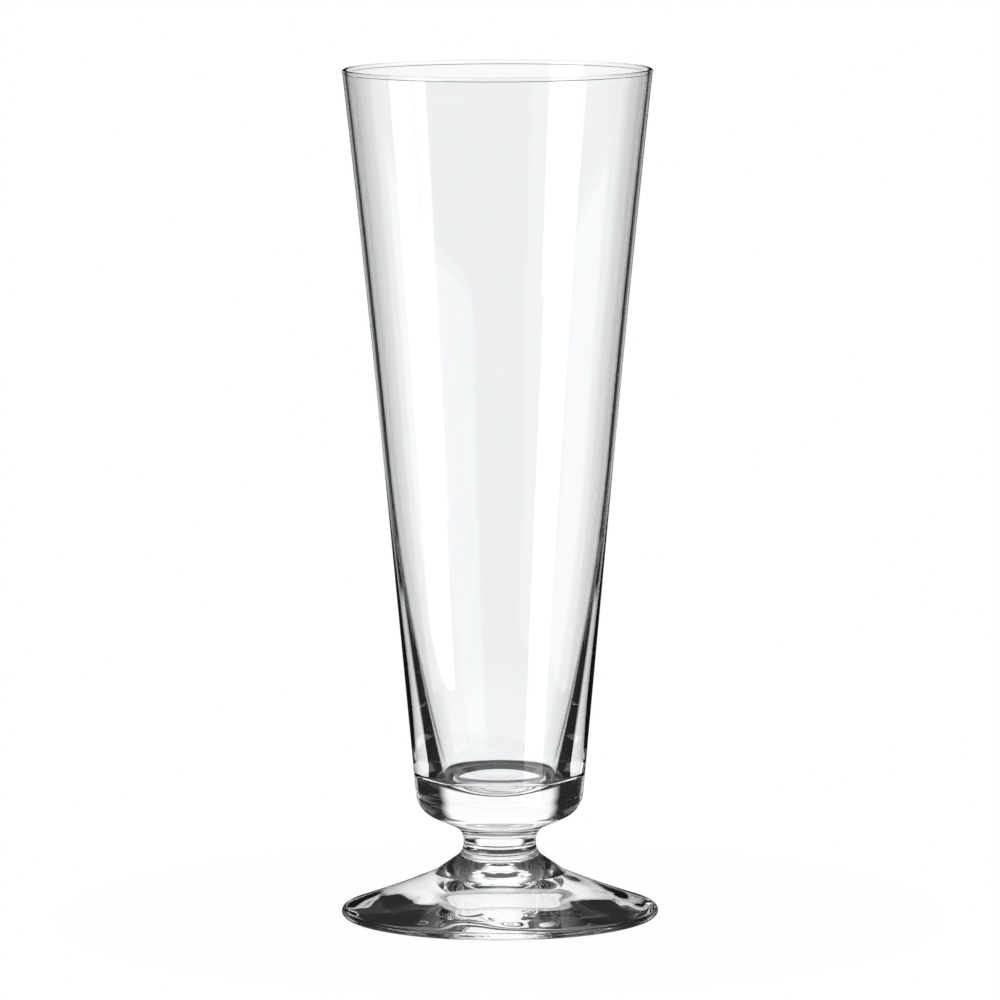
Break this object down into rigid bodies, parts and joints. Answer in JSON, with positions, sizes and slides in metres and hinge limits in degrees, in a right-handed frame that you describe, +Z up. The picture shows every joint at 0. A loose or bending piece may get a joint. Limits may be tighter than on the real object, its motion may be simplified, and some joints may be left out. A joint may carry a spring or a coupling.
{
  "type": "pilsner glass",
  "caption": "Tall footed beer glass: a slim tapering bowl with a heavy solid base and dished floor, on a short waisted stem and a round conical foot, hollow underneath.",
  "frame": {"origin": "on the table, on the glass's axis, in the plane of the foot's bearing ring", "axes": "+Z up along the glass's axis; X and Y are free, because the glass is turned about Z"},
  "size_m": [0.078, 0.078, 0.2089],
  "materials": {
    "clear_glass": "clear soda-lime glass, blown, drawn and pressed, fire-polished"
  },
  "bodies": {
    "root": {"bowl": "clear_glass", "stem": "clear_glass", "foot": "clear_glass"}
  },
  "joints": []
}
